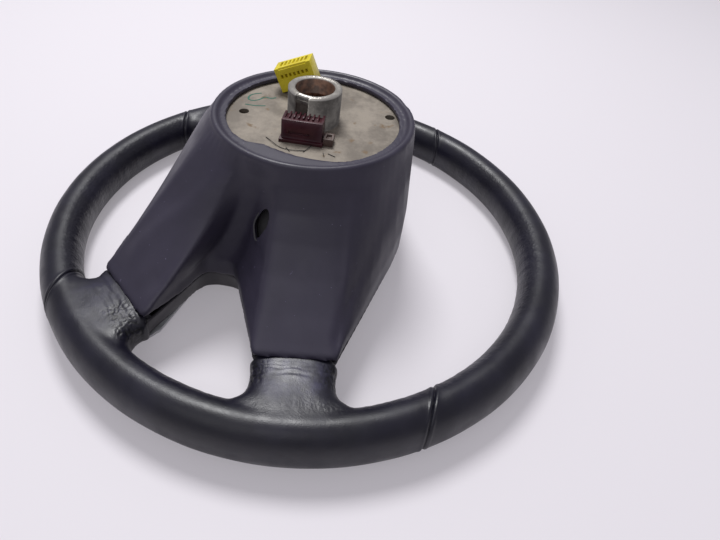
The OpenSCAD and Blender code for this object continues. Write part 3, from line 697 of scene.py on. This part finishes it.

# %% [markdown]
# ## Leather over the rim
# The real leather is four panels stretched over foam and sewn where they meet. The CAD panels are plain shells.
# Here the foam and panels are joined, with a plug in each root's end, and remeshed into one even skin. The skin
# is smoothed, creased by functions, cut at the slanted seams, and given the thickness of leather.

# %% Sizes of the grip, with the rim's radius read from the CAD model
rim_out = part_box("leather_top")[1].y
grip_w = 26.6 * MM
rim_r = rim_out - grip_w / 2
SEAMS = [(1, 50.5, 60.5), (-1, 50.5, 60.5), (1, 147.0, 137.0), (-1, 147.0, 137.0)]
SEAM_PART, SEAM_START, SEAM_END = 0.7, -12 * MM, 55 * MM
ROOT_LOW, ROOT_TOP = 9.0, 32.6
PLUG_PART, TONGUE_PART, TONGUE_FLOOR = 0.92, 0.88, 27.8
SQUARENESS = 0.62
SKIN = 1.3 * MM


def seam_line(side, near_angle, far_angle):
    near = clock(side * near_angle, rim_r - SEAM_PART * grip_w)
    far = clock(side * far_angle, rim_r + SEAM_PART * grip_w)
    along = (far - near).normalized()
    return near, along, Vector((-along.y, along.x, 0))


# %% A bar with a spoke's section, which plugs a root's end or carries its leather on under the cover
def root_bar(turn, start, end, half, low, top, floor_z):
    bpy.ops.object.select_all(action="DESELECT")
    bpy.ops.mesh.primitive_cylinder_add(vertices=40, radius=1, depth=1)
    bar = bpy.context.object
    points, _ = read_points(bar)
    soft = np.sign(points) * np.abs(points) ** SQUARENESS
    reach = np.where(points[:, 2] > 0, end, start)
    along, height = np.array(clock(turn, 1.0)), (low + top) / 2 + (top - low) / 2 * soft[:, 1]
    across = np.array((along[1], -along[0], 0.0))
    placed = reach[:, None] * along + (half * soft[:, 0])[:, None] * across
    placed[:, 2] = np.maximum(height, floor_z)
    write_points(bar, placed * MM)
    pick(bar)
    bpy.ops.object.mode_set(mode="EDIT")
    bpy.ops.mesh.select_all(action="SELECT")
    bpy.ops.mesh.normals_make_consistent(inside=False)
    bpy.ops.object.mode_set(mode="OBJECT")
    return bar


# %% One even skin
def grip_skin(voxel):
    parts = [merged_copy(n, "grip_" + n) for n in
             ("rim_foam", "leather_top", "leather_bottom", "leather_left", "leather_right")]
    for turn, end_r, half in ROOTS:
        for side in (1, -1):
            parts.append(root_bar(side * turn, end_r + 0.4, end_r + 9, half * PLUG_PART, ROOT_LOW + 0.6,
                                  ROOT_TOP - 0.2, 0))
            parts.append(root_bar(side * turn, end_r - 7, end_r + 8, half * TONGUE_PART, ROOT_LOW + 0.6,
                                  ROOT_TOP - 0.1, TONGUE_FLOOR))
    grip = pick(*parts)
    bpy.ops.object.join()
    apply(grip, "REMESH", mode="VOXEL", voxel_size=voxel)
    mesh = bmesh.new()
    mesh.from_mesh(grip.data)
    keep = outer_island(mesh)
    bmesh.ops.delete(mesh, geom=[f for f in mesh.faces if f not in keep], context="FACES")
    mesh.to_mesh(grip.data)
    mesh.free()
    apply(grip, "SMOOTH", factor=0.5, iterations=12)
    return grip


def outer_island(mesh):
    left = set(mesh.faces)
    best = set()
    while left:
        seed = left.pop()
        island = {seed}
        front = [seed]
        while front:
            face = front.pop()
            for edge in face.edges:
                for other in edge.link_faces:
                    if other in left:
                        left.discard(other)
                        island.add(other)
                        front.append(other)
        if len(island) > len(best):
            best = island
    return best


grip = grip_skin(1.55 * COARSE * MM)
print("grip skin:", len(grip.data.vertices), "points")


# %% [markdown]
# ## Creases, seams and the slight lack of order that makes leather look real
# Leather wrinkles along the inner side of the rim and where it turns from the rim into a spoke. Beside the fork
# the wrinkles are a net of fine lines, their pits darkened with painted shade. At a root's end the leather is
# fuller, and on a lower spoke it bulges away from the fork. A seam is a narrow groove between two soft lips. Each
# is a small push of the skin's points. The roots' tops are painted lighter, partly wear and partly painted
# highlight.

# %% Distance from the nearest seam
def seam_distance(points):
    best = np.full(len(points), 1.0)
    for side, near_angle, far_angle in SEAMS:
        near, along, across = seam_line(side, near_angle, far_angle)
        offset = (points - np.array(near)) @ np.array(across)
        reach = (points - np.array(near)) @ np.array(along)
        here = (reach > SEAM_START) & (reach < SEAM_END)
        best = np.where(here, np.minimum(best, np.abs(offset)), best)
    return best


# %% Finer faces near the seams and on the roots
def refine(piece, chosen, cuts):
    pick(piece)
    piece.data.polygons.foreach_set("select", [all(chosen[i] for i in f.vertices) for f in piece.data.polygons])
    bpy.ops.object.mode_set(mode="EDIT")
    bpy.ops.mesh.select_mode(type="FACE")
    bpy.ops.mesh.subdivide(number_cuts=cuts, smoothness=0.0)
    bpy.ops.object.mode_set(mode="OBJECT")


def root_places(points):
    """Each root's reach past the cover's end, its distance from the spoke's middle, its half width, that distance
    signed towards the fork on a lower spoke, and the way from the fork. All but the last are in mm."""
    for turn, end_r, half in ROOTS:
        for side in (1, -1):
            along = np.array(clock(side * turn, 1.0))
            across = np.array((along[1], -along[0], 0.0))
            aside = np.abs(points @ across / MM)
            fork = points @ across / MM * -side if half == LOW_HALF else aside
            yield points @ along / MM - end_r, aside, half, fork, across * side


def near_roots(points):
    near = np.zeros(len(points), bool)
    for reach, aside, half, _, _ in root_places(points):
        near |= (reach > -1) & (reach < 22) & (aside < half + 4) & (points[:, 2] > 15 * MM)
    return near


# %% The pushes, in mm, and three marks that the finish reads
RIPPLE_HIGH, FOLD_HIGH, PIT_DEEP = 0.22, 0.24, 0.42
END_HIGH, END_WIDE, END_SHIFT = 0.35, 1.7, 2.8
# The last is the share of the lighter wear and painted highlight on a lower spoke's roots.
LOW_PATCH, SIDE_PATCH, LOW_WEAR_AND_SHEEN = 25, 11, 0.45
LIP_HIGH, GROOVE_DEEP = 0.28, 0.95


def mark(piece, name, values):
    attribute = piece.data.attributes.new(name, "FLOAT", "POINT")
    attribute.data.foreach_set("value", values.astype(np.float32))


def crease(piece):
    points, normals = read_points(piece)
    angle = np.arctan2(points[:, 0], points[:, 1])
    radius = np.hypot(points[:, 0], points[:, 1])
    inner = smooth(rim_r - radius, 1 * MM, 9 * MM) * smooth(points[:, 2], 2 * MM, 10 * MM)
    push = 0.2 * noise_at(points, (38, 38, 38))
    arc = np.stack([angle * rim_r, radius * 0.35, points[:, 2] * 0.35], axis=1)
    ripple = noise_at(arc, (250, 90, 90)) + 0.6 * noise_at(arc, (430, 170, 170))
    patch = smooth(noise_at(points, (16, 16, 16)), -0.35, 0.25)
    crease_shade, wear_and_sheen, on_root = np.zeros(len(points)), np.zeros(len(points)), np.zeros(len(points))
    for reach, aside, half, _, _ in root_places(points):
        on_root = np.maximum(on_root, (1 - smooth(reach, 20, 34)) * (aside < half + 12) * (reach > -9))
    inner *= patch * (1 - on_root)
    push += RIPPLE_HIGH * ripple * inner

    shift = np.zeros(points.shape)
    upper = smooth(points[:, 2], 14 * MM, 22 * MM)
    web = np.minimum(np.abs(noise_at(points, (300, 300, 300))), np.abs(noise_at(points + 1, (420, 420, 420))))
    pits = 1 - smooth(web, 0.02, 0.13)
    for reach, aside, half, fork, away in root_places(points):
        on_bar = (aside < half + 6) * (reach > -9)
        lines = np.stack([reach * MM, aside * 0.2 * MM, points[:, 2] * 0.3], axis=1)
        near_end = smooth(reach, 1, 3) * (1 - smooth(reach, 8, 20)) * (aside < half + 6)
        push += FOLD_HIGH * noise_at(lines, (560, 560, 560)) * near_end
        push += END_HIGH * (1 - smooth(reach, 0, 7)) * (aside < half + 6) * (reach > -8)
        push += END_WIDE * smooth(aside, half - 9, half - 2) * (1 - smooth(reach, -2, 5)) * on_bar
        if half == LOW_HALF:
            outer = smooth(-fork, half - 14, half - 3) * (fork > -half - 6)
            shift += END_SHIFT * (outer * (1 - smooth(reach, 0, 10)) * (reach > -9))[:, None] * away
        start = half - (LOW_PATCH if half == LOW_HALF else SIDE_PATCH)
        patch = (smooth(reach, 1.5, 4) * (1 - smooth(reach, 13, 20)) * smooth(fork, start, start + 7)
                 * (1 - smooth(aside, half + 1, half + 5)) * upper)
        push -= PIT_DEEP * pits * patch
        # The pits are also marked to be painted darker, as painted shade.
        crease_shade = np.maximum(crease_shade, pits * patch)
        # The roots' tops, on the top side only, are marked for lighter wear and painted highlight, less on a lower
        # spoke.
        share = LOW_WEAR_AND_SHEEN if half == LOW_HALF else 1
        wear_and_sheen = np.maximum(wear_and_sheen, share * smooth(reach, 0.5, 3) * (1 - smooth(reach, 16, 34))
                          * (1 - smooth(aside, half - 12, half - 3)) * upper)
    gap = seam_distance(points) / MM
    push += LIP_HIGH * bell(gap, 1.7, 0.8) - GROOVE_DEEP * bell(gap, 0, 0.5)
    write_points(piece, points + normals * (push * MM)[:, None] + shift * MM)
    mark(piece, "crease_shade", crease_shade)
    mark(piece, "wear_and_sheen", wear_and_sheen)
    mark(piece, "inner", inner)


SEAM_FINE = 3.6 * MM
refine(grip, seam_distance(read_points(grip)[0]) < SEAM_FINE, 2)
refine(grip, near_roots(read_points(grip)[0]), 1)
crease(grip)
print("grip skin after refining:", len(grip.data.vertices), "points")

# %% [markdown]
# ## Four panels
# The skin is split along the four seams by bisecting only the half that a seam is on. Then each panel is a copy
# that keeps its own share of the faces, and Solidify gives it the thickness of leather.

# %% Splitting the skin, and the end of each root that is cut off under the cover
def split_at_seams(piece):
    pick(piece)
    for side, near_angle, far_angle in SEAMS:
        near, _, across = seam_line(side, near_angle, far_angle)
        bpy.ops.object.mode_set(mode="OBJECT")
        wanted = [f.center.x * side > 0.02 and (f.center.y > 0) == (near_angle < 90) for f in piece.data.polygons]
        piece.data.polygons.foreach_set("select", wanted)
        bpy.ops.object.mode_set(mode="EDIT")
        bpy.ops.mesh.select_mode(type="FACE")
        bpy.ops.mesh.bisect(plane_co=near, plane_no=across, use_fill=False)
    bpy.ops.object.mode_set(mode="OBJECT")


def panel_of(centre):
    for name, seam in (("top", 0), ("bottom", 2)):
        _, near_angle, far_angle = SEAMS[seam]
        near, _, across = seam_line(1, near_angle, far_angle)
        beyond = (Vector((abs(centre.x), centre.y, 0)) - near).dot(across)
        if (beyond > 0) == (name == "top") and (centre.y > 0) == (name == "top"):
            return name
    return "right" if centre.x > 0 else "left"


CUT_FROM, CUT_TO, CUT_ASIDE = 30, 5.2, 40 * MM


def root_end(centre):
    for turn, end_r, _ in ROOTS:
        for side in (1, -1):
            along = clock(side * turn, 1.0)
            aside = abs(centre.x * along.y - centre.y * along.x)
            if end_r - CUT_FROM < centre.dot(along) / MM < end_r - CUT_TO and aside < CUT_ASIDE:
                return True
    return False


split_at_seams(grip)
for panel in ("top", "bottom", "left", "right"):
    leather = bpy.data.objects.new("leather_skin_" + panel, grip.data.copy())
    bpy.context.scene.collection.objects.link(leather)
    shape = bmesh.new()
    shape.from_mesh(leather.data)
    centres = [(f, f.calc_center_median()) for f in shape.faces]
    others = [f for f, centre in centres if panel_of(centre) != panel or root_end(centre)]
    bmesh.ops.delete(shape, geom=others, context="FACES")
    shape.to_mesh(leather.data)
    shape.free()
    apply(leather, "SOLIDIFY", thickness=SKIN, offset=-1.0)
    pick(leather)
    bpy.ops.object.shade_smooth()
    paint(leather, finishes["leather"])
    settle(leather, "wheel", "leather_" + panel)
bpy.data.objects.remove(grip)

# %% [markdown]
# ## Floor, lamps and camera
# The floor is plain and pale, and glows a little for the rays that see it, which keeps its shadows soft. A soft
# lamp hangs high behind the wheel, a weaker and larger one stands in front, and the sky fills the shadows. The
# camera looks from where the photograph was taken.

# %% Floor and sky
bpy.ops.object.select_all(action="DESELECT")
bpy.ops.mesh.primitive_plane_add(size=12, location=(0, 0, -0.5 * MM))
floor = bpy.context.object
floor.name = "floor"
FLOOR_LIT, FLOOR_GLOW = (0.52, 0.5, 0.53, 1), (0.26, 0.248, 0.266, 1)
floor_look = Finish("pale_floor", rough=0.6, specular=0.2)
floor_look.shader.inputs["Base Color"].default_value = FLOOR_LIT
floor_look.shader.inputs["Emission Color"].default_value = FLOOR_GLOW
rays = floor_look.add("ShaderNodeLightPath").outputs
seen = floor_look.math("MAXIMUM", rays["Is Camera Ray"], rays["Is Glossy Ray"])
seen = floor_look.math("MAXIMUM", seen, rays["Is Transmission Ray"])
floor_look.tree.links.new(seen, floor_look.shader.inputs["Emission Strength"])
floor.data.materials.append(floor_look.material)

world = bpy.data.worlds.new("sky")
bpy.context.scene.world = world
world.use_nodes = True
sky = world.node_tree.nodes["Background"]
sky.inputs["Color"].default_value = (0.94, 0.92, 1.0, 1)
sky.inputs["Strength"].default_value = 0.33


# %% Lamps
LAMP_AIM = Vector((0, 0, 0.05))


def lamp(name, place, size, watts):
    data = bpy.data.lights.new(name, "AREA")
    data.shape = "DISK"
    data.size = size
    data.energy = watts
    light = bpy.data.objects.new(name, data)
    bpy.context.scene.collection.objects.link(light)
    light.location = place
    light.rotation_euler = (LAMP_AIM - Vector(place)).to_track_quat("-Z", "Y").to_euler()


lamp("window", (-0.64, -0.3, 1.55), 0.6, 24)
lamp("fill", (0.9, -0.2, 1.1), 1.1, 2.5)

# %% Camera
PICTURE_W, PICTURE_H = 720, 540
EYE = Vector((0.3055, 0.0458, 0.2789))
BACK = Vector((0.7544, 0.0899, 0.6503)).normalized()
ROLL = math.radians(5.076)
FOCAL_PX = 531.1
MIDDLE_PX = (317.9, 228.0)
SENSOR_MM = 36

level = Vector((0, 0, 1)).cross(BACK).normalized()
upward = BACK.cross(level)
right = level * math.cos(ROLL) + upward * math.sin(ROLL)
up = upward * math.cos(ROLL) - level * math.sin(ROLL)
camera_data = bpy.data.cameras.new("camera")
camera = bpy.data.objects.new("camera", camera_data)
bpy.context.scene.collection.objects.link(camera)
camera.matrix_world = Matrix(((right.x, up.x, BACK.x, EYE.x), (right.y, up.y, BACK.y, EYE.y),
                              (right.z, up.z, BACK.z, EYE.z), (0, 0, 0, 1)))
camera_data.sensor_width = SENSOR_MM
camera_data.lens = FOCAL_PX / PICTURE_W * SENSOR_MM
camera_data.shift_x = (PICTURE_W / 2 - MIDDLE_PX[0]) / PICTURE_W
camera_data.shift_y = (MIDDLE_PX[1] - PICTURE_H / 2) / PICTURE_W
camera_data.clip_start = 0.01
bpy.context.scene.camera = camera
bpy.context.scene.view_settings.view_transform = "Standard"
